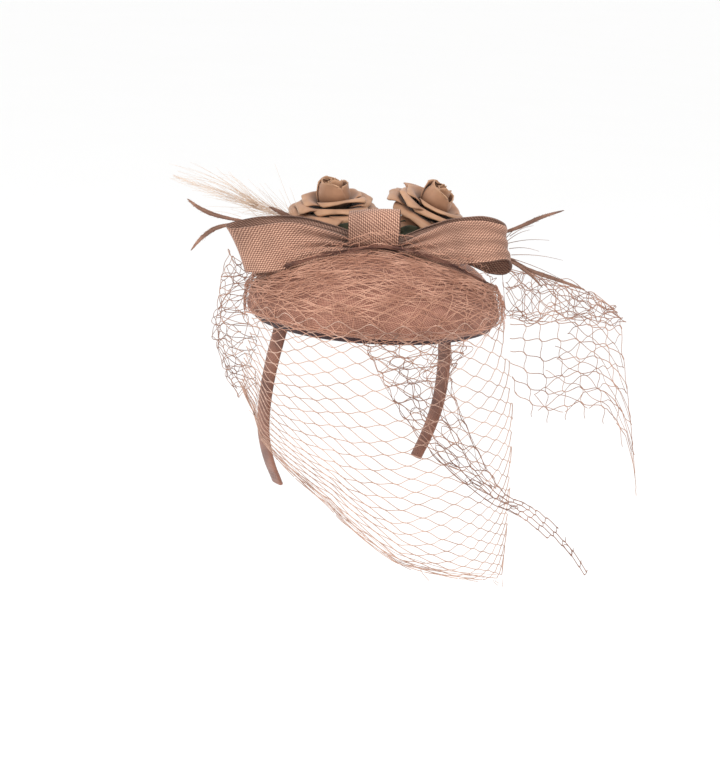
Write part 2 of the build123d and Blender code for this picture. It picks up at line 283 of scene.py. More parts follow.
def weave(name, gap_and_shade, thread, highlight_and_slub, pitch, twist=0.0, jitter=0.12, bump=0.35, twill=False):
    """Plain woven straw or ribbon on a UV laid out in millimetres, with a painted highlight on the thread
    crests.
    """
    s = Shade(name, 0.65, 0.15, 0.25)
    uv = s.coord.outputs["UV"]
    x, y, _ = s.split(uv)
    n1 = s.noise(uv, 0.35, 2.0)
    n2 = s.noise(uv, 0.9, 2.0)
    wob = s.mul(s.math("SUBTRACT", n1, 0.5), jitter * 8)
    wob2 = s.mul(s.math("SUBTRACT", n2, 0.5), jitter * 4)
    ct, st = math.cos(twist), math.sin(twist)
    u = s.add(s.mul(x, ct / pitch[0]), s.mul(y, st / pitch[0]))
    v = s.add(s.mul(x, -st / pitch[1]), s.mul(y, ct / pitch[1]))
    u, v = s.add(u, wob), s.add(v, wob2)
    if twill:
        u = s.add(u, s.mul(v, 0.5))
    su = s.math("SINE", s.mul(u, math.pi))
    sv = s.math("SINE", s.mul(v, math.pi))
    over = s.mul(s.mul(su, sv), 0.38)
    warp = s.mul(s.math("ABSOLUTE", su), s.add(0.62, over))
    weft = s.mul(s.math("ABSOLUTE", sv), s.math("SUBTRACT", 0.62, over))
    h = s.math("MAXIMUM", warp, weft)
    # Painted highlight: thread crests are mixed to the pale highlight colour, while holes and dips between
    # threads take the dark gap colour.
    base = s.mix(s.ramp(h, 0.12, 0.52), gap_and_shade, thread)
    base = s.mix(s.ramp(h, 0.6, 1.0), base, highlight_and_slub)
    big = s.noise(s.coord.outputs["Object"], 45.0, 3.0)
    base = s.mix(s.mul(s.ramp(big, 0.42, 0.68), 0.35), base, gap_and_shade)
    # Random pale slubs, mixed toward the same highlight colour.
    slub = s.noise(uv, 2.2, 2.0)
    base = s.mix(s.mul(s.ramp(slub, 0.55, 0.75), 0.3), base, highlight_and_slub)
    # Painted shade on the inner face of a ribbon loop: mixed halfway to the dark gap colour.
    s.colour(s.mix(s.mul(s.math("GREATER_THAN", y, INSIDE_SHADE / 2), 0.5), base, gap_and_shade))
    s.bump(h, bump * MM, 0.9)
    return s.mat


def cloth(name, low, high, scale=900.0, rough=0.7, sheen=0.2, bump=0.08, rib_pitch=None, mottled=70.0):
    """Plain cloth on object coordinates: fine grain, slow mottling, optional ribs on the UV with painted
    shade in the grooves between them.
    """
    s = Shade(name, rough, sheen, 0.25)
    obj = s.coord.outputs["Object"]
    grain = s.noise(obj, scale, 4.0, 0.7)
    slow = s.noise(obj, mottled, 3.0)
    base = s.mix(s.ramp(slow, 0.3, 0.7), low, high)
    base = s.mix(s.mul(s.ramp(grain, 0.45, 0.75), 0.35), base, high)
    height = grain
    if rib_pitch:
        x = s.split(s.coord.outputs["UV"])[0]
        rib = s.math("ABSOLUTE", s.math("SINE", s.mul(x, math.pi / rib_pitch)))
        # Painted shade: the grooves between ribs are mixed toward the low colour.
        base = s.mix(s.ramp(rib, 0.1, 0.6), low, base)
        height = s.add(s.mul(grain, 0.2), rib)
    s.colour(base)
    s.bump(height, bump * MM, 0.8)
    return s.mat


def metal(name, low, high):
    s = Shade(name, 0.35, 0.0, 0.5, 1.0)
    obj = s.coord.outputs["Object"]
    s.colour(s.mix(s.noise(obj, 400.0, 3.0), low, high))
    s.bump(s.noise(obj, 1500.0, 2.0), 0.02 * MM)
    return s.mat


def thread(name, low, high):
    """Net thread: fine fibre with a slow shift in shade."""
    s = Shade(name, 0.6, 0.1, 0.3)
    obj = s.coord.outputs["Object"]
    slow = s.noise(obj, 60.0, 2.0)
    fine = s.noise(obj, 2600.0, 2.0)
    base = s.mix(s.ramp(slow, 0.35, 0.65), low, high)
    s.colour(s.mix(s.mul(s.ramp(fine, 0.5, 0.8), 0.4), base, high))
    s.bump(fine, 0.05 * MM)
    return s.mat


def petal_cloth(name, deep_tone_and_shade, mid, high):
    """Pressed sheet petals: painted shade darker toward the base, a painted highlight pale along the lip (V
    of the UV).
    """
    s = Shade(name, 0.52, 0.12, 0.35)
    v = s.split(s.coord.outputs["UV"])[1]
    obj = s.coord.outputs["Object"]
    slow = s.noise(obj, 90.0, 3.0)
    grain = s.noise(obj, 1100.0, 3.0, 0.6)
    # Painted shade toward each petal's base and a painted highlight along its lip; the slow mottle below is
    # random tone.
    base = s.mix(s.ramp(v, 0.1, 0.75), deep_tone_and_shade, mid)
    base = s.mix(s.mul(s.ramp(v, 0.82, 0.97), 0.45), base, high)
    base = s.mix(s.mul(s.ramp(slow, 0.4, 0.7), 0.35), base, deep_tone_and_shade)
    s.colour(base)
    s.bump(s.add(grain, s.mul(slow, 3.0)), 0.06 * MM, 0.6)
    return s.mat


M = dict(
    crown=weave("straw_cloth", rgb(96, 58, 47), rgb(162, 111, 92), rgb(208, 158, 136), (1.15, 1.15), 0.7,
                jitter=0.10, bump=0.3),
    ribbon=weave("straw_ribbon", rgb(50, 30, 24), rgb(150, 106, 87), rgb(232, 186, 160), (2.0, 1.35), 0.0,
                 jitter=0.05, bump=0.35, twill=True),
    waist=weave("ribbon_waist", rgb(62, 38, 30), rgb(150, 106, 86), rgb(222, 176, 150), (1.5, 1.5)),
    lining=cloth("lining_cloth", rgb(58, 34, 32), rgb(84, 52, 48), rough=0.6),
    petersham=cloth("petersham", rgb(46, 28, 32), rgb(82, 54, 58), rough=0.55, rib_pitch=1.1, bump=0.25),
    band=cloth("band_cloth", rgb(98, 60, 48), rgb(158, 108, 88), scale=1400.0, rough=0.5, sheen=0.3,
               rib_pitch=0.8, bump=0.1),
    wire=metal("wire", (0.42, 0.42, 0.44, 1), (0.6, 0.6, 0.62, 1)),
    core=metal("band_core", (0.5, 0.5, 0.53, 1), (0.66, 0.66, 0.68, 1)),
    thread=cloth("thread", rgb(60, 36, 34), rgb(96, 62, 56)),
    rose=petal_cloth("rose_cloth", rgb(78, 50, 36), rgb(162, 119, 90), rgb(204, 162, 126)),
    leaf=cloth("leaf_cloth", rgb(34, 38, 26), rgb(66, 66, 44), rough=0.6, mottled=140.0),
    felt=cloth("felt", rgb(110, 72, 60), rgb(150, 104, 88), scale=1600.0, rough=0.9),
    feather=cloth("feather_brown", rgb(98, 70, 57), rgb(164, 124, 104), scale=2000.0, rough=0.55, sheen=0.3),
    plume=cloth("feather_pale", rgb(192, 160, 134), rgb(226, 200, 176), scale=2000.0, rough=0.6, sheen=0.3),
    net=thread("net", rgb(172, 122, 99), rgb(206, 158, 134)),
    net_face=thread("net_face", rgb(176, 140, 122), rgb(206, 172, 154)),
    # Painted shade: the next two are darker copies of the same net thread, for the wing, ruffle and fold
    # pieces that hang in shade.
    net_shaded=thread("net_shaded", rgb(146, 108, 92), rgb(186, 146, 126)),
    net_fold_shaded=thread("net_fold_shaded", rgb(126, 90, 76), rgb(168, 128, 110)),
    # Painted shadow: the gathered edge's thread is much darker, for the shade under the bow loops.
    net_edge_shadow=thread("net_edge_shadow", rgb(84, 50, 42), rgb(150, 104, 86)),
)

# ---- hat base ----------------------------------------------------------------------
def crown_piece():
    n, rows = 220, 46
    prof = [(BRIM_R * math.cos(a), DOME_H * math.sin(a)) for a in np.linspace(0.04, math.pi / 2 - 0.02, rows)]
    lip = [(77.9, 1.6), (78.6, -0.9), (79.7, -2.7), (81.6, -2.9), (83.0, -1.6), (83.3, 0.4)]
    prof = np.array(lip + prof)
    step = np.r_[0, np.cumsum(np.hypot(*np.diff(prof[::-1], axis=0).T))][::-1]
    az = np.linspace(0, 2 * math.pi, n, endpoint=False)
    r = prof[:, 0][:, None] + 0.25 * np.sin(3 * az + 0.5) + 0.2 * np.sin(7 * az)
    z = prof[:, 1][:, None] + 0.2 * np.sin(2 * az + 1.0)[None, :] * np.linspace(1, 0.2, len(prof))[:, None]
    v = np.stack([r * np.cos(az), r * np.sin(az), z * np.ones_like(az)], -1).reshape(-1, 3)
    s = step[:, None]
    uv = np.stack([s * np.cos(az), s * np.sin(az)], -1).reshape(-1, 2)
    f = grid_faces(len(prof), n, wrap_cols=True).tolist()
    top = len(v)
    v = np.vstack([v, [0, 0, DOME_H]])
    uv = np.vstack([uv, [0, 0]])
    last = (len(prof) - 1) * n
    f += [[last + i, last + (i + 1) % n, top] for i in range(n)]
    put("crown_cloth", v, f, M["crown"], uv,
        replaces=("base_crown_shell", "brim_binding"))


crown_piece()


def sweatband_piece():
    n = 260
    prof = [(77.3, 8.0), (77.2, 2.0), (77.5, -4.0), (78.0, -6.6), (78.7, -6.6), (78.5, -3.5), (78.2, 0.5),
            (78.1, 8.0)]
    az = np.linspace(0, 2 * math.pi, n + 1)
    rows = []
    for r, z in prof:
        wave = 0.35 * np.sin(5 * az) + 0.2 * np.sin(11 * az + 1)
        low = max(0.0, -z / 6.6)
        rows.append(np.stack([(r + wave * low) * np.cos(az), (r + wave * low) * np.sin(az),
                              z + 0.3 * wave * low * np.ones_like(az)], -1))
    surf = np.array(rows)
    uv = np.stack(np.meshgrid(az * 78, [p[1] for p in prof]), -1).reshape(-1, 2)
    put("sweatband", surf.reshape(-1, 3), grid_faces(len(prof), n + 1, wrap_rows=True), M["petersham"], uv,
        replaces=("sweatband_ribbon",))


sweatband_piece()

# ---- headband ----------------------------------------------------------------------
def band_piece(side, name):
    """Covered band from the middle of the arch down to the rounded tip of one arm."""
    arch = [(68.5 * math.sin(math.radians(a)), 8.0, -2.4 + 40.5 * max(math.cos(math.radians(a)), 0) ** 0.8)
            for a in (0, 15, 30, 45, 60, 72, 82)]
    arm = [(68.6, 8.0, -4.0), (71.2, 8.6, -16), (74.0, 9.5, -29.6), (76.4, 10.6, -46), (77.0, 12.0, -63.6),
           (75.6, 13.2, -79), (72.2, 14.0, -91.6), (67.6, 14.6, -103), (63.0, 15.0, -111.6),
           (60.2, 15.3, -117.0)]
    line = catmull(arch + arm, 150)
    n = len(line)
    t = unit(np.gradient(line, axis=0))
    wide = unit(np.array([0, 1.0, 0]) - t * t[:, 1:2])
    out = np.cross(wide, t)
    run = np.r_[0, np.cumsum(np.linalg.norm(np.diff(line, axis=0), axis=1))]
    share = np.linspace(0, 1, n)
    w = np.interp(share, [0, 0.35, 0.45, 0.7, 1], [6.4, 6.4, 6.6, 6.0, 5.2])
    th = np.interp(share, [0, 1], [1.4, 1.5])
    ends = np.sqrt(np.clip(1 - ((share - 0.985) / 0.0155).clip(0, 1) ** 2, 0.05, 1))
    w, th = w * ends, th * ends
    k = 18
    ang = np.linspace(0, 2 * math.pi, k, endpoint=False)
    cs = np.sign(np.cos(ang)) * np.abs(np.cos(ang)) ** 0.75
    sn = np.sign(np.sin(ang)) * np.abs(np.sin(ang)) ** 0.6
    ripple = 1 + 0.05 * np.sin(run * 1.9)[:, None] * (np.abs(sn) > 0.5)[None, :]
    v = (line[:, None] + wide[:, None] * (cs[None] * w[:, None])[..., None]
         + out[:, None] * (sn[None] * th[:, None] * ripple)[..., None])
    v = np.concatenate([v.reshape(-1, 3), line[-1:]])
    v[:, 0] *= side
    uv = np.stack([np.repeat(run, k), np.tile(ang * 4, n)], -1)
    uv = np.vstack([uv, [run[-1], 0]])
    f = grid_faces(n, k, wrap_cols=True).tolist() + [[(n - 1) * k + i, (n - 1) * k + (i + 1) % k, n * k]
                                                      for i in range(k)]
    if side < 0:
        f = [q[::-1] for q in f]
    names = [f"headband_{name}_cover", f"headband_{name}_tip"] + (["headband_arch_cover"] if side < 0 else [])
    obj = put(f"band_{name}", v, f, M["band"], uv, replaces=names, ride=False)
    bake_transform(obj)


band_piece(-1, "right")
band_piece(1, "left")

# ---- bow ---------------------------------------------------------------------------
RIBBON_W = 33.0          # woven ribbon, one width for the whole bow
PLEATS = 3
PLEAT_LOSS, PLEAT_MAX = 1.1, 1.7   # taken off a pleat's height, and the most that is left


def ribbon(name, rows, node, thick=0.9, belly=1.2, samples=150, across=37):
    """Ribbon loop from rows of (low edge point, high edge point) in the bow frame. Where the edges
    come closer than the ribbon's width, the cloth between them stands in pleats."""
    low = catmull([r[0] for r in rows], samples, closed=True)
    high = catmull([r[1] for r in rows], samples, closed=True)
    t = np.linspace(0, 1, across)[None, :, None]
    surf = low[:, None] * (1 - t) + high[:, None] * t
    mid = (low + high) / 2
    tang = np.roll(mid, -1, 0) - np.roll(mid, 1, 0)
    n = unit(np.cross(tang, high - low), 1e-9)
    bulge = belly * (4 * t * (1 - t) - 0.5)
    spare = np.sqrt(np.clip(RIBBON_W ** 2 - ((high - low) ** 2).sum(1), 0, None)) / (4 * PLEATS)
    gather = np.clip(spare - PLEAT_LOSS, 0, PLEAT_MAX)
    bulge = bulge + gather[:, None, None] * np.sin(2 * math.pi * PLEATS * t)
    surf = surf + n[:, None] * bulge
    s = np.r_[0, np.cumsum(np.linalg.norm(np.diff(mid, axis=0), axis=1))]
    surf += n[:, None] * (0.35 * np.sin(s * 0.35)[:, None, None] * (t - 0.5))
    v, f = thicken(surf, thick, wrap_rows=True)
    away = np.linalg.norm(v - v.mean(0), axis=1).reshape(2, -1).mean(1)
    width = np.linalg.norm(high - low, axis=1)
    uu = np.repeat(s[:, None], across, 1)
    vv = np.linspace(-0.5, 0.5, across)[None, :] * width.max()
    uv = np.stack([uu, vv * np.ones_like(uu)], -1).reshape(-1, 2)
    # The face nearer the loop's middle takes the UV offset that weave() paints in shade.
    uv = np.vstack([uv + [0, INSIDE_SHADE * (away[0] < away[1])], uv + [0, INSIDE_SHADE * (away[1] < away[0])]])
    obj = put(name, bow(v), f, M["ribbon"], uv, replaces=(node,))


left_rows = [((-15, -29, 41.5), (-15, -28, 49.5)), ((-34, -35, 37), (-33, -33, 55)),
             ((-54, -37, 29.5), (-56, -34, 58.8)), ((-72, -35, 25.5), (-78, -31, 54.5)),
             ((-81, -29, 24.3), (-93, -27, 51.6)), ((-83.5, -22, 24.5), (-97, -20, 52.5)),
             ((-80, -13, 27), (-91, -12, 54.0)), ((-66, -8, 33), (-74, -7, 57)),
             ((-44, -9, 42.5), (-48, -9, 58)), ((-15, -21, 44.5), (-15, -22, 52))]
right_rows = [((15, -21, 44.5), (15, -22, 51)), ((40, -13, 42), (42, -13, 62)),
              ((62, -9, 33), (62, -11, 66)), ((74, -8, 28.5), (72, -12, 66)),
              ((84.5, -11, 29.5), (79, -18, 64)), ((86.5, -20, 37), (80.5, -25, 62.5)),
              ((82, -29, 42.5), (76, -30, 65)), ((68, -33, 40.5), (64, -32, 67)),
              ((46, -36, 38.5), (46, -34, 65)), ((30, -35, 39.5), (30, -33, 57)),
              ((15, -29, 41.5), (15, -28, 48.5))]
ribbon("bow_left", left_rows, "bow_left_loop")
ribbon("bow_right", right_rows, "bow_right_loop")
centre_rows = [((-18.0, -26, 45.9), (13.5, -26, 45.9)), ((-18.6, -33, 46.8), (13.2, -33, 47.2)),
               ((-19.0, -36.2, 52), (13.0, -36, 54)), ((-19.2, -36.4, 59.5), (13.0, -36.0, 62.5)),
               ((-19.4, -33.5, 65.0), (12.9, -33.0, 68.4)), ((-19.2, -28, 67.2), (13.2, -27.5, 70.2)),
               ((-18.6, -22, 65), (13.6, -22, 67)), ((-18.0, -18.4, 58), (14.0, -18.4, 59)),
               ((-18.0, -18.5, 51), (14.0, -18.5, 51))]
ribbon("bow_centre", centre_rows, "bow_centre_loop", belly=-0.8)

# ---- roses -------------------------------------------------------------------------
def petal(outline, centre, half, curl, phase, lift, tuck, nu=21, nv=20, thick=0.75, point=1.2):
    """One cupped petal with a rolled lip, in the rose's own frame."""
    prof = catmull(outline, 60)
    v = np.linspace(0, 1, nv)
    u = np.linspace(-1, 1, nu)
    cut = 0.80
    flat = np.minimum(v, cut)
    share = np.linspace(0, 1, len(prof))
    rho, h = np.interp(flat, share, prof[:, 0]), np.interp(flat, share, prof[:, 1])
    k = int(cut * (len(prof) - 1))
    t = prof[k + 3] - prof[k - 3]
    t /= np.linalg.norm(t)
    nrm = np.array([t[1], -t[0]])
    c = np.clip((v - cut) / (1 - cut), 0, 1) * math.pi * 0.95
    span = np.linalg.norm(prof[-1] - prof[k])
    rho = rho + t[0] * span * np.sin(c * 0.62) + nrm[0] * curl * (1 - np.cos(c))
    h = h + t[1] * span * np.sin(c * 0.62) + nrm[1] * curl * (1 - np.cos(c))
    w = np.sqrt(np.clip(1 - (np.clip(v - 0.45, 0, 1) / 0.66) ** 2, 0, 1))
    w = w * (0.72 + 0.28 * np.minimum(v / 0.45, 1))
    uu, vv = np.meshgrid(u, v)
    ang = centre + half * uu * w[:, None]
    mid = np.exp(-(uu / 0.16) ** 2)
    rr = rho[:, None] + tuck * uu * vv + 0.9 * np.abs(uu) ** 3 * vv
    rr = rr + point * mid * vv ** 4 + 0.5 * np.sin(3.1 * uu + phase) * vv ** 2
    hh = h[:, None] + lift * vv + 0.7 * np.sin(2.3 * uu + phase * 1.7) * vv ** 2 + 0.6 * point * mid * vv ** 5
    hh = hh - 1.6 * np.abs(uu) ** 2.5 * vv ** 2
    surf = np.stack([rr * np.cos(ang), rr * np.sin(ang), hh], -1)
    return two_faced(surf, thick, uu * 0.5 + 0.5, vv)


def bud_roll(turns=1.7, low=5.6, high=27.2, wide=8.6):
    """Tight roll of cloth at the heart of the flower."""
    th = np.linspace(0, turns * 2 * math.pi, 130)
    v = np.linspace(0, 1, 16)
    part = th / th[-1]
    r = 0.9 + (wide - 0.9) * part ** 0.9
    flare = 0.60 + 0.42 * np.sin(v * math.pi * 0.72)
    top = high + 0.9 * np.sin(th * 1.5) - 1.2 * part + 0.6 * np.sin(th * 4.2)
    rr = r[:, None] * flare[None]
    zz = low + (top[:, None] - low) * np.minimum(v, 0.94)[None] / 0.94
    surf = np.stack([rr * np.cos(th)[:, None], rr * np.sin(th)[:, None], zz], -1)
    vv, pp = np.meshgrid(v, part)
    return two_faced(surf, 0.7, pp, vv)


def rose(side, at, lean_along, lean_front, seed):
    r = np.random.default_rng(seed)
    turn = (Matrix.Rotation(-TURN, 4, "Z") @ Matrix.Translation(Vector(at))
            @ Matrix.Rotation(math.radians(lean_front), 4, "X")
            @ Matrix.Rotation(math.radians(lean_along), 4, "Y"))
    m = np.array(turn)[:3]

    def ring(count, outline, first, step, sway, half, curl, lift, tuck, **more):
        return [petal(outline, step * i + first + r.uniform(0, sway), half, curl, r.uniform(0, 6),
                      r.uniform(*lift), tuck, **more) for i in range(count)]
    rings = {
        "bud": [bud_roll()] + ring(3, [(5.0, 6.5), (9.2, 12), (10.4, 18), (8.6, 26.0)],
                                   0, 2.1, 0.4, 1.35, 0.25, (-3.0, 0.5), 0.8, point=0.4),
        "inner_petals": ring(3, [(5.8, 6.6), (11.0, 11.5), (15.4, 15), (18.4, 17.2)],
                             0.7, 2.09, 0.3, 1.28, 1.3, (-1.0, 1.6), 2.0, nu=25),
        "middle_petals": ring(4, [(7.0, 5.6), (13.5, 9.6), (19.5, 12.4), (24.4, 13.6)],
                              0, 1.57, 0.3, 1.06, 1.5, (-1.4, 1.2), 2.2, nu=25),
        "outer_petals": ring(5, [(8.6, 4.4), (16.5, 7.0), (23.5, 8.6), (28.6, 8.6)],
                             0.35, 1.257, 0.25, 0.90, 1.7, (-2.0, 0.6), 2.0, nu=27)}
    if side == "right":
        rings["outer_petals"].append(petal([(8.8, 3.6), (16.5, 3.2), (22.5, -0.5), (26.0, -5.5)], -1.95, 0.55,
                                           1.4, 2.0, 0.0, 0.4, nu=25))
    for label, parts in rings.items():
        v, f, uv = join(parts)
        put(f"rose_{side}_{label}_cloth", v @ m[:, :3].T + m[:, 3], f, M["rose"], uv,
            replaces=(f"rose_{side}_{label}",))


rose("left", (-29.5, 19, 53.5), -4, 7, 11)
rose("right", (30, 19, 56.0), 25, 10, 23)


def leaf(root, tip, width, curl, up=(0, 0, 1)):
    root, tip = np.array(root, float), np.array(tip, float)
    axis = tip - root
    length = np.linalg.norm(axis)
    axis /= length
    side = np.cross(axis, up)
    side /= np.linalg.norm(side)
    nrm = np.cross(side, axis)
    v, u = np.linspace(0, 1, 18), np.linspace(-1, 1, 9)
    uu, vv = np.meshgrid(u, v)
    w = width * np.sin(math.pi * vv ** 0.8) ** 0.9 + 0.15
    rise = 0.25 * w * np.abs(uu) + curl * np.sin(math.pi * vv) + 0.25 * np.sin(14 * vv) * np.abs(uu)
    surf = root + axis * (vv * length)[..., None] + side * (uu * w)[..., None] + nrm * rise[..., None]
    return two_faced(surf, 0.45, uu, vv)


UPRIGHT, UPRIGHT_WIDE = (0, -1, 0.2), (0, -1, 0.3)   # leaves that show their face to the front
leaf_rows = [((-3, 3, 49), (-22, -3, 53), 5, 1.5), ((-4, -8, 50), (-30, -11, 54), 4.5, 0.8, UPRIGHT_WIDE),
             ((-2, -4, 48), (-8, -12, 60), 5, 0.8, UPRIGHT),
             ((12, -6, 51), (30, -10, 55), 4, 0.8, UPRIGHT_WIDE), ((2, 4, 50), (1, 3, 65), 4, 1.0, UPRIGHT),
             ((6, 0, 49), (27, -6, 51), 5, 1.5), ((0, 6, 48), (-3, 26, 52), 6, 1.5),
             ((-8, 0, 49), (-12, -4, 62), 4, 0.6, UPRIGHT), ((12, 4, 50), (17, 0, 59), 3.6, 0.6, UPRIGHT)]
lv, lf, luv = join([leaf(*row) for row in leaf_rows])
put("leaves", bow(lv), lf, M["leaf"], luv, replaces=("rose_leaves",))


# ---- feathers ----------------------------------------------------------------------
def feather(spine, width, barbs=120, solid=0.55, angle=32, seed=1, hair=0.10, start=0.2, quill=0.42):
    """Bent quill, a thin vane and loose barbs, in the bow frame."""
    r = np.random.default_rng(seed)
    n = 60
    line = catmull(spine, n)
    t = unit(np.gradient(line, axis=0))
    side = unit(np.cross(t, np.array([0, 1.0, 0])))
    s = np.linspace(0, 1, n)
    env = np.clip((s - start) / (0.92 - start) + 0.08, 0, 1) ** 0.55 * np.clip((1.01 - s) / 0.38, 0, 1) ** 0.8
    parts = [(*tubes(line[None], np.linspace(quill, 0.1, n), 6), None)]
    if solid:
        u = np.linspace(-1, 1, 9)
        edge = 1 + 0.05 * np.sin(s * 75)[:, None] * np.abs(u)[None]
        surf = line[:, None] + side[:, None] * ((env * width * solid)[:, None] * u[None] * edge)[..., None]
        surf[..., 1] += 0.5 * np.abs(u)[None] * env[:, None]
        parts.append((*thicken(surf[int(start * n):], 0.16), None))
    lines = []
    for i in range(barbs):
        for sign in (-1, 1):
            p = start + (0.985 - start) * (i + r.random()) / barbs
            j = min(int(p * (n - 1)), n - 2)
            a = math.radians(angle + r.normal(0, 5))
            ln = width * np.interp(p, s, env) * (1 + 0.25 * r.random()) * (1.4 if r.random() < 0.05 else 1)
            d = t[j] * math.cos(a) + side[j] * sign * math.sin(a)
            q = np.linspace(0, 1, 5)[:, None]
            bend = t[j] * 0.25 * ln
            lines.append(line[j] + d * ln * q + bend * q ** 2 + np.array([0, r.normal(0, 0.5), 0]) * q ** 2)
    parts.append((*tubes(np.array(lines), hair * np.array([1, 1, 0.8, 0.6, 0.3]), 3), None))
    return join(parts)


feathers = {
    "left_upper": (3.4, 120, [(-42, 4, 49), (-80, 4, 50.5), (-104, 3.5, 53.5), (-117, 3, 58),
                              (-125.5, 2, 64)]),
    "left_lower": (3.4, 120, [(-42, 2, 48), (-78, 2, 50.5), (-102, 1, 47.5), (-114, 1, 40), (-122, 1, 30)]),
    "left_short": (3.6, 70, [(-40, 0, 47), (-52, 0, 54), (-62, 1, 58), (-72, 2, 62)]),
    "right_upper": (3.2, 120, [(44, 4, 47), (72, 4, 51), (90, 4, 57.5), (106, 3, 66), (120, 2, 71.5)]),
    "right_lower": (3.2, 120, [(44, 1.5, 46), (80, 2, 40), (100, 2, 31), (120, 3, 25), (138.5, 4, 19.5)]),
    "right_short": (2.4, 80, [(44, -1, 45), (76, -1, 39.5), (90, -1, 35), (102, -1, 27.5), (110, -1, 20)])}
for seed, (label, (width, barbs, spine)) in enumerate(feathers.items(), 2):
    v, f, _ = feather(spine, width, barbs, seed=seed)
    put(f"hackle_{label}", bow(v), f, M["feather"], replaces=(f"feather_{label}",))

r = np.random.default_rng(31)
wisps = []
for i in range(80):
    w = r.random()
    root = np.array([-44 - 34 * w, 6.5 + r.normal(0, 2.0), 50 + 11 * w + r.normal(0, 1.5)])
    reach = r.uniform(14, 40)
    lean = r.normal(0.30, 0.22)
    q = np.linspace(0, 1, 7)[:, None]
    d = np.array([-math.cos(lean), r.normal(0, 0.15), math.sin(lean)])
    sag = np.array([0, r.normal(0, 2), r.normal(1.0, 3.0)])
    wisps.append(root + d * reach * q + sag * q ** 2)
for i in range(26):
    root = np.array([-80, 6.5 + r.normal(0, 1), 61 + r.normal(0, 2)])
    tip = np.array([-139 + abs(r.normal(0, 13)), 6.5 + r.normal(0, 4), 79 + r.normal(0, 4.0)])
    wisps.append(arched(root, tip, r.normal(2, 2)))
for a, b in (((-66, 2, 60), (-79, 2, 77)), ((-58, 0, 58), (-66, 0, 74)), ((-52, -1, 58), (-59, -1, 76)),
             ((-84, 2, 52), (-104, 2, 45)), ((-90, 3, 54), (-112, 3, 56.5))):
    wisps.append(arched(a, b, 1.2))
pv, pf, _ = join([(*tubes(np.array(wisps), np.linspace(0.14, 0.05, 7), 3), None),
                  feather([(-42, 6.5, 50), (-78, 6.5, 59), (-108, 6.5, 69), (-136, 6.5, 78)], 7.0, barbs=80,
                          solid=0, angle=26, seed=9, hair=0.06, start=0.35, quill=0.25)])
put("plume_left", bow(pv), pf, M["plume"], replaces=("feather_left_plume",))
hairs = [arched(a, b, 1.5) for a, b in (
    ((84, 4, 51), (97, 4, 62.5)), ((86, 3, 52), (101, 3, 60)), ((84, 3, 47), (112, 3, 51)),
    ((86, 2, 44), (106, 2, 43.5)), ((88, 2, 40), (122, 2, 38.5)), ((86, 1, 36), (108, 1, 24)),
    ((88, 1, 38), (128, 1, 23)), ((84, 4, 48), (99, 4, 57)))]
hv, hf = tubes(np.array(hairs), np.linspace(0.25, 0.1, 7), 4)
put("barbs_right", bow(hv), hf, M["feather"])


# ---- birdcage net ------------------------------------------------------------------
THREAD_R = 0.27


def smooth_noise(seed, amp, waves=5, low=1.0, high=4.0):
    """Smooth random shift in three axes, as a function of two unit parameters."""
    r = np.random.default_rng(seed)
    ku = r.uniform(low, high, (3, waves)) * r.choice([-1, 1], (3, waves))
    kv = r.uniform(low, high, (3, waves)) * r.choice([-1, 1], (3, waves))
    ph = r.uniform(0, 2 * math.pi, (3, waves))

    def f(u, v):
        a = [np.sin(2 * math.pi * (ku[k] * u[..., None] + kv[k] * v[..., None]) + ph[k]).sum(-1)
             for k in range(3)]
        return np.stack(a, -1) * amp / math.sqrt(waves)
    return f


def net(surface, nu, nv, square=False, knot=0.04, jitter=0.05, keep=None, seed=0, pts=7, radius=THREAD_R,
        bend=0.3):
    """Knotted net laid on a surface of two unit parameters: tube verts and faces, then the number
    of bars and their radius. Knots stand on every point of the grid in a square net, and on every
    second one in a diamond net."""
    r = np.random.default_rng(seed)
    lim = np.array([nu, nv]) * (1 if square else 2)
    i, j = np.meshgrid(np.arange(lim[0] + 1), np.arange(lim[1] + 1), indexing="ij")
    ok = square | ((i + j) % 2 == 0)
    node = np.stack([i[ok], j[ok]], -1).astype(float)
    off = r.normal(0, jitter, (lim[0] + 1, lim[1] + 1, 2))
    steps = ((1, 0), (0, 1)) if square else ((1, 1), (1, -1))
    kvec = np.array([knot, knot if square else 0.0])

    def shift(p):
        return off[p[:, 0].astype(int), p[:, 1].astype(int)]

    def on_surface(p):
        return surface(*(np.clip(p[..., k] / lim[k], -0.02, 1.02) for k in (0, 1)))
    t = np.linspace(0, 1, pts)[None, :, None]
    h00, h10 = 2 * t ** 3 - 3 * t ** 2 + 1, t ** 3 - 2 * t ** 2 + t
    h01, h11 = -2 * t ** 3 + 3 * t ** 2, t ** 3 - t ** 2
    lines = []
    for st in np.array(steps, float):
        b = node + st
        ok = (b[:, 0] <= lim[0]) & (b[:, 1] <= lim[1]) & (b[:, 1] >= 0)
        a, b = node[ok], b[ok]
        sa = np.where((st @ kvec) >= 0, 1.0, -1.0)
        pa, pb = a + shift(a) + kvec * sa, b + shift(b) - kvec * sa
        pull = kvec / np.linalg.norm(kvec) * sa * np.linalg.norm(st)
        ta = (pull * bend + st * (1 - bend))[None]
        lines.append(h00 * pa[:, None] + h10 * ta[:, None] + h01 * pb[:, None] + h11 * ta[:, None])
    lines = np.concatenate(lines)
    knots = (node + shift(node))[:, None] + kvec * np.linspace(-1.3, 1.3, 4)[None, :, None]
    if keep is not None:
        mid, end = lines[:, pts // 2] / lim, knots[:, 1] / lim
        lines, knots = lines[keep(mid[:, 0], mid[:, 1])], knots[keep(end[:, 0], end[:, 1])]
    v, f, _ = join([(*tubes(on_surface(lines), radius, 4), None),
                    (*tubes(on_surface(knots), radius * np.array([1, 1.6, 1.6, 1]), 5), None)])
    return v, f, (len(lines), radius)


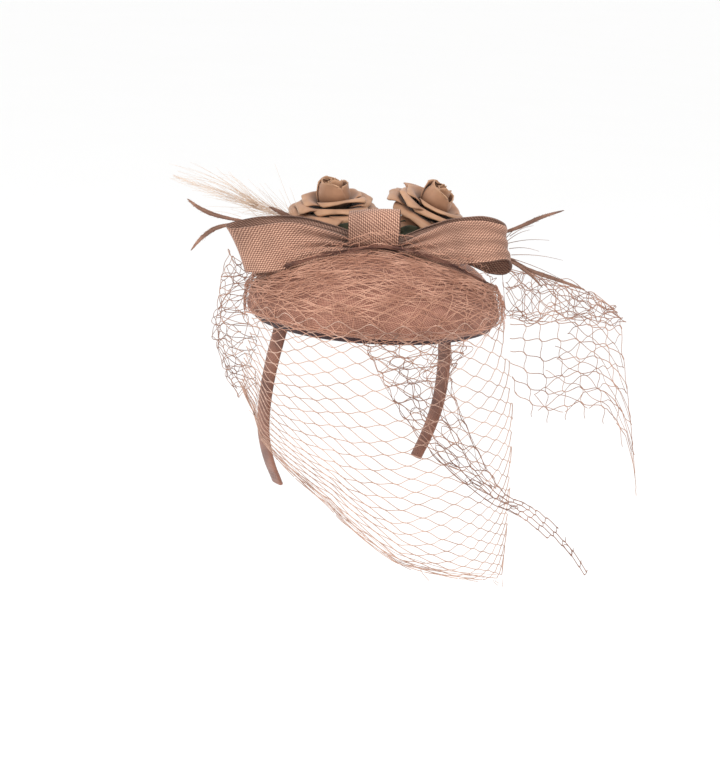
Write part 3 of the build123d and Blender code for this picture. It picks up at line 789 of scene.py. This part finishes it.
def threads(name, parts, mat, blend=None, node=None):
    """Tubes joined into one piece: a net, or the edges, hems and loops that go with one."""
    v, f, _ = join([(*part[:2], None) for part in parts])
    obj = put(name, v, f, mat, replaces=(node,) if node else (), ride=blend is None)
    if blend:
        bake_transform(obj)
    return obj


def lay_net(name, layers, mat, node=None, blend=None):
    """Net piece: the given layers' tubes joined into one object."""
    obj = threads(name, layers, mat, blend, node)
    return obj


def smooth01(x):
    x = np.clip(x, 0, 1)
    return x * x * (3 - 2 * x)


def head_radius(az, z, grow=0.0):
    """Plan radius of the hanging net at an azimuth from the front, round at the brim and oval below."""
    a = np.interp(-z, [20, 100, 178], [89.6, 92.0, 93.0]) + grow
    b = np.interp(-z, [20, 100, 178], [94.0, 104.0, 108.0]) + grow
    oval = 1 / np.sqrt((np.sin(az) / a) ** 2 + (np.cos(az) / b) ** 2)
    k = smooth01((8 - z) / 40)
    return (85.0 + grow) * (1 - k) + oval * k


def at_head(az, z, grow=0.0):
    r = head_radius(az, z, grow)
    return np.stack([r * np.sin(az), -r * np.cos(az), z], -1)


FACE_FROM, FACE_SPAN = -104, 151     # degrees round from the front
LOW_AZ = np.radians([-104, -93, -86, -65, -52, -46, -27, -7, 24, 47])
LOW_Z = np.array([-50, -62, -78, -96, -108, -117, -140, -151, -168, -174.0])
face_noise = smooth_noise(41, 1.5, low=0.6, high=2.2)


def face_az(u):
    return np.radians(FACE_FROM + FACE_SPAN * u)


def face_surface(u, v):
    """Net that hangs in front of the face, its foot on a slant."""
    vv = 1 - (1 - np.clip(v, 0, 1)) ** (1 + 0.9 * (1 - u))
    az = face_az(u) + np.radians(24) * (v - 0.25) * np.sin(math.pi * np.clip(u, 0, 1))
    zl = np.interp(az, LOW_AZ, LOW_Z)
    z = 7 + (zl - 7) * vv
    p = at_head(az, z)
    return p + face_noise(u, v) * np.clip(v * 3, 0.2, 1)[..., None]


edge_lines = []
er = np.random.default_rng(5)
for k in range(6):
    u = np.linspace(0.0, 0.62 + 0.25 * er.random(), 60)
    az = face_az(u)
    z = np.interp(az, LOW_AZ, LOW_Z) + er.uniform(-1, 4.5) * (1 - 0.4 * u)
    z = z + 1.6 * np.sin(u * er.uniform(6, 14) + k)
    edge_lines.append(at_head(az, z, er.uniform(-0.5, 1.0)))
strays = []
q = np.linspace(0, 1, 6)
for k in range(9):
    az = face_az(er.uniform(0.05, 0.98))
    z = np.interp(az, LOW_AZ, LOW_Z)
    az = az + math.radians(er.uniform(2, 7)) * q
    z = z - er.uniform(3, 9) * q ** 0.8
    strays.append(at_head(az, z, 0.5 + 1.5 * er.random()))
SWING = ("hat", "face_net", (0, 0, 0.004), (0, 0, -0.045))
face_edge = threads("face_edge_threads", [tubes(edge_lines, 0.17), tubes(strays, 0.2)], M["net_face"],
                    blend=SWING)
lay_net("face_net", [net(face_surface, 11, 19, jitter=0.045, knot=0.05, bend=0.34, seed=3, keep=lambda u, v: (
    v < 0.995) & (u < 0.93 + 0.03 * np.sin(40 * v) + 0.05 * (v < 0.1)))],
        M["net_face"], "veil_face", blend=SWING)

fold_left = catmull([(-66, -66, 2), (-60, -73, -12), (-53, -80, -28), (-44, -88, -48), (-24, -100, -75),
                     (13, -107, -104), (38, -100, -117), (44, -112, -122), (52, -125, -131), (60, -136, -142),
                     (64, -146, -153)], 90)
fold_right = catmull([(-4, -92, 5), (-7, -96, -8), (-16, -97, -24), (-7.5, -103, -52), (13, -106, -86),
                      (38, -99, -108), (52, -102, -114), (54, -112, -117), (59, -126, -126), (64, -138, -137),
                      (68, -148, -149)], 90)


def fold_surface(seed, amp, lift):
    """Strip between the fold's two edges, puffed out from the hat's axis."""
    noise = smooth_noise(seed, amp)

    def f(u, v):
        a, b = along(fold_left, u), along(fold_right, u)
        p = a + (b - a) * v[..., None]
        out = unit(p * [1, 1, 0])
        puff = lift * np.sin(math.pi * np.clip(v, 0, 1)) + lift * 0.5
        return p + out * puff[..., None] + noise(u, v)
    return f


fold_face = fold_surface(51, 0.4, 1.0)
fold_layers = [net(fold_face, 20, 3, square=True, knot=0.07, jitter=0.04, seed=5, radius=0.3, bend=0.12,
                   keep=lambda u, v: (u < 0.82) | ((v > 0.2) & (v < 0.9))),
               net(fold_surface(52, 1.2, 3.0), 12, 4, knot=0.1, jitter=0.1, seed=6, radius=0.2, bend=0.4,
                   keep=lambda u, v: u < 0.45),
               net(fold_surface(53, 2.0, 2.0), 14, 4, jitter=0.16, seed=8, radius=0.2,
                   keep=lambda u, v: u < 0.20)]
turn = np.linspace(0, 2 * math.pi, 22)
loops = [fold_face(cu + 0.019 * k * np.cos(turn), cv + 0.13 * k * np.sin(turn) + 0.01 * np.cos(3 * turn))
         for cu, cv, k in ((0.12, 0.30, 1.0), (0.17, 0.72, 1.2), (0.22, 0.35, 1.1), (0.29, 0.28, 1.2),
                           (0.33, 0.62, 1.0), (0.38, 0.30, 1.3), (0.46, 0.34, 1.2), (0.52, 0.55, 1.0),
                           (0.60, 0.36, 1.1), (0.10, 0.92, 1.5), (0.88, 0.5, 1.2))]
hem = [(line + smooth_noise(seed, 0.8)(np.linspace(0, 1, 90), np.full(90, drift)))[:62]
       for line, seed, drift in ((fold_left, 60, 0.0), (fold_right, 62, 0.6))]
fold_edge = threads("fold_edge_threads", [tubes(hem, 0.2), tubes(loops, 0.25)], M["net_fold_shaded"], blend=SWING)
fold = lay_net("fold_net", fold_layers, M["net_fold_shaded"], "veil_fold", blend=SWING)
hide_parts("veil_tail")

FOOT = catmull([(-76, -14, 20), (-67, -27, 25.5), (-52, -40.5, 33.5), (-34, -41.5, 40), (-18, -40, 44.2),
                (0, -37, 46.8), (18, -36.5, 45.8), (36, -36.5, 42), (54, -34, 35), (68, -24, 26.5),
                (77, -8, 20.5)], 120)


def crown_surface(seed, amp, rise, hang, shear=0.0):
    """Net over the front of the dome, from the bow's foot out past the brim."""
    noise = smooth_noise(seed, amp, low=0.8, high=3.2)

    def f(u, v):
        uu = np.clip(u + shear * (v - 0.5), 0, 1)
        a = along(bow(FOOT), uu)
        az = np.radians(-137 + 194 * uu)
        out = np.stack([np.sin(az), -np.cos(az)], -1)
        vv = np.clip(v, 0, 1)
        flat = a[..., :2] + (out * 84.6 - a[..., :2]) * np.minimum(vv / 0.82, 1)[..., None] ** 0.9
        r = np.linalg.norm(flat, axis=-1)
        z = (DOME_H + 1.2) * np.sqrt(np.clip(1 - (r / (BRIM_R + 1.6)) ** 2, 0, 1))
        drop = np.clip((vv - 0.80) / 0.2, 0, 1)
        flat = flat * (1 + 0.02 * drop * np.sin(9 * az))[..., None]
        z = z * (1 - drop) + (3.0 - hang * drop) * drop
        n = unit(np.concatenate([flat / (BRIM_R ** 2), (z / DOME_H ** 2)[..., None]], -1))
        p = np.concatenate([flat, z[..., None]], -1) + n * rise
        d = noise(u, v)
        d = d - n * (d * n).sum(-1, keepdims=True)
        lift = np.abs(noise(v, u)[..., :1]) * 0.22
        return p + d * np.sin(math.pi * np.clip(v, 0.12, 0.9))[..., None] + n * lift
    return f


crown_rows = [((71, 2.0, 0.6, 12), 12, 9, False, 0.08, 0.16, 2),
              ((72, 3.5, 0.9, 5, 0.10), 11, 8, False, 0.12, 0.12, 2),
              ((73, 4.5, 1.2, 2, -0.22), 18, 8, True, 0.10, 0.12, 0.80),
              ((74, 5.0, 1.4, 0, 0.5), 11, 10, False, 0.14, 0.1, 0.78),
              ((75, 4.0, 1.0, 0, -0.6), 16, 12, True, 0.14, 0.1, 0.80)]
crown_layers = [net(crown_surface(*shape), nu, nv, square, jitter=jitter, seed=seed, radius=0.21, bend=bend,
                    keep=lambda u, v: v < foot)
                for seed, (shape, nu, nv, square, jitter, bend, foot) in enumerate(crown_rows, 11)]

strands = []
gr = np.random.default_rng(17)
for k in range(15):
    d = np.stack([gr.normal(0, 0.5) + 0.9 * np.sin(np.linspace(0, gr.uniform(8, 26), 120) + gr.uniform(0, 6))
                  for _ in range(3)], -1)
    strands.append(FOOT + d * np.array([0.4, 0.9, 0.7]) + np.array([0, -0.3, 0.4]))
# The gathered strands carry a painted shadow: their dark thread stands for the shade under the bow loops.
gathered = threads("gathered_edge", [tubes(bow(strands), 0.2)], M["net_edge_shadow"], node="veil_gather")
lay_net("crown_net", crown_layers, M["net"], "veil_crown")


def over_bow_surface(u, v):
    """Loose loops of net that ride up over the lower edges of the bow."""
    up = np.array([0, -0.25, 1.0])
    p = along(FOOT, u) + up * (v * (8 + 5 * np.sin(9 * u) ** 2))[..., None] + np.array([0, -1.6, 0.2])
    return bow(p + smooth_noise(81, 1.6)(u, v))


wing_noise = smooth_noise(91, 0.8, low=0.5, high=1.8)


def wing_surface(back=0.0, shrink=1.0, noise=wing_noise):
    """Net that stands out past the bow's right end, over a ridge, and hangs to a ragged foot."""
    def f(u, v):
        top_p = np.interp(u, [0, 0.4, 0.75, 1], [86, 118, 146, 159])
        top_z = np.interp(u, [0, 0.4, 0.75, 1], [27, 21, 13, 5])
        rid_p = np.interp(u, [0, 0.5, 1], [89, 128, 165])
        rid_z = np.interp(u, [0, 0.5, 1], [-3, -1, 1])
        bot_p = np.interp(u, [0, 0.3, 0.6, 0.8, 1], [100, 123, 150, 168, 187])
        bot_z = shrink * np.interp(u, [0, 0.15, 0.3, 0.55, 0.75, 0.9, 1],
                                   [-62, -72, -77, -68, -70, -92, -124])
        s = smooth01(v / 0.30)
        w = np.clip((v - 0.30) / 0.70, 0, 1)
        p = np.where(v < 0.3, top_p + (rid_p - top_p) * s, rid_p + (bot_p - rid_p) * w ** 1.15)
        z = np.where(v < 0.3, top_z + (rid_z - top_z) * s, rid_z + (bot_z - rid_z) * w)
        y = np.where(v < 0.3, 20 - 17 * s, 3 + 5 * w * np.sin(4.5 * u + 0.4)) + back
        y = y + 3.0 * np.sin(6 * u + 2 * v) * u
        return bow(np.stack([p, y, z], -1) + noise(u, v))
    return f


wing_layers = [net(wing_surface(), 7, 9, square=True, knot=0.06, jitter=0.04, seed=21, radius=0.27, bend=0.3,
                   keep=lambda u, v: (v < 0.99) & (u > 0.005)),
               net(wing_surface(1.5, 0.3, smooth_noise(95, 1.6)), 4, 7, jitter=0.10, seed=23, radius=0.25,
                   keep=lambda u, v: v < 0.36),
               net(wing_surface(-1.5, 0.3, smooth_noise(97, 2.2)), 5, 7, jitter=0.14, seed=25, radius=0.25,
                   keep=lambda u, v: v < 0.34),
               net(wing_surface(3.5, 0.3, smooth_noise(96, 2.4)), 8, 9, square=True, knot=0.06, jitter=0.14,
                   seed=24, radius=0.22, keep=lambda u, v: (v < 0.30) & (v < 0.42 - 0.25 * u))]
lay_net("wing_net", wing_layers, M["net_shaded"], "veil_wing")
under = net(wing_surface(9.0, 0.92, smooth_noise(93, 1.0)), 5, 8, knot=0.05, jitter=0.04, seed=22,
            radius=0.23, bend=0.15, keep=lambda u, v: ((u > 0.75 - 0.6 * v) | (v < 0.32)) & (v < 0.99))
lay_net("wing_under_net", [under], M["net_shaded"], "veil_wing_under")


def ruffle_surface(seed, shift):
    """Net that bulges out past the bow's left end and tucks in at its foot."""
    noise = smooth_noise(seed, 2.4, low=0.6, high=2.4)

    def f(u, v):
        z = 27 - 88 * v
        bulge = np.interp(v, [0, 0.15, 0.35, 0.5, 0.7, 0.9, 1], [14, 17, 22, 25, 20, 12, 3])
        a = u * math.pi
        p = -81 - bulge * np.sin(a) - 4 * v * np.cos(a)
        y = -24 + 34 * u + shift
        return bow(np.stack([p, y, z], -1) + noise(u, v))
    return f


ruffle_layers = [net(ruffle_surface(101, 0), 3, 8, jitter=0.16, seed=31, radius=0.24, bend=0.5),
                 net(ruffle_surface(102, 6), 4, 9, square=True, jitter=0.16, seed=32, radius=0.24, bend=0.5)]
lay_net("ruffle_net", ruffle_layers, M["net_shaded"], "veil_ruffle")
lay_net("over_bow_net", [net(over_bow_surface, 13, 2, jitter=0.2, seed=41, radius=0.2, bend=0.5,
                             keep=lambda u, v: v < 0.99)], M["net"])

# ---- CAD pieces that stay -----------------------------------------------------------
KEEP = {"base_lining": "lining", "brim_wire": "wire", "headband_tacks": "thread", "bow_waist": "waist",
        "trim_disc": "felt", **{f"headband_{part}_core": "core" for part in ("arch", "right", "left")},
        **{f"rose_{side}_{part}": "leaf" for side in ("left", "right") for part in ("calyx", "stem")}}
for node_name, key in KEEP.items():
    for slot in bpy.data.objects[node_name].material_slots:
        slot.material = M[key]

# ---- floor, light and camera --------------------------------------------------------
def plain(name, value):
    s = Shade(name, 0.9, 0.0, 0.1)
    n = s.noise(s.coord.outputs["Object"], 3.0, 2.0)
    s.colour(s.mix(n, (value, value, value, 1), (value * 0.99, value * 0.99, value * 0.985, 1)))
    return s.mat


FLOOR_Z, FLOOR_HALF = -0.42, 30
corners = [(x * FLOOR_HALF, y * FLOOR_HALF, FLOOR_Z) for x, y in ((-1, -1), (1, -1), (1, 1), (-1, 1))]
floor_mesh = bpy.data.meshes.new("floor")
floor_mesh.from_pydata(corners, [], [(0, 1, 2, 3)])
floor = show("floor", floor_mesh)
floor_mesh.materials.append(plain("floor_paper", 0.93))

world = bpy.data.worlds.new("studio")
bpy.context.scene.world = world
world.use_nodes = True
world.node_tree.nodes["Background"].inputs[0].default_value = (1, 1, 1, 1)
world.node_tree.nodes["Background"].inputs[1].default_value = 1.06


def lamp(name, place, target, size, power):
    data = bpy.data.lights.new(name, "AREA")
    data.shape, data.size, data.energy = "SQUARE", size, power
    obj = show(name, data)
    obj.location = place
    obj.rotation_euler = (Vector(target) - Vector(place)).to_track_quat("-Z", "Y").to_euler()


lamp("key", (-0.1, -0.9, 1.3), (0, 0, 0), 0.7, 11)
lamp("side", (-1.1, 0.0, 0.5), (0, 0, 0), 0.6, 4)

AZ, EL, ROLL = math.radians(-40), math.radians(14.5), math.radians(3.5)
FIELD, DIST = 0.500, 1.180            # height seen at the hat, and the camera's distance
AIM_RIGHT, AIM_UP = 0.0089, 0.0475    # the origin lies this far right of and above the picture's middle
right = Vector((math.cos(AZ), math.sin(AZ), 0))
view = -Vector((math.sin(AZ) * math.cos(EL), -math.cos(AZ) * math.cos(EL), math.sin(EL)))
up = right.cross(view)
cam_x = right * math.cos(ROLL) + up * math.sin(ROLL)
cam_y = -right * math.sin(ROLL) + up * math.cos(ROLL)
aim = -(cam_x * AIM_RIGHT + cam_y * AIM_UP)
cam = bpy.data.cameras.new("camera")
cam.lens, cam.sensor_width, cam.sensor_fit = 36 * DIST / FIELD, 36, "AUTO"
cam_obj = show("camera", cam)
facing = Matrix((cam_x, cam_y, -view)).transposed().to_4x4()
cam_obj.matrix_world = Matrix.Translation(aim - view * DIST) @ facing
bpy.context.scene.camera = cam_obj
bpy.context.scene.view_settings.view_transform = "Standard"
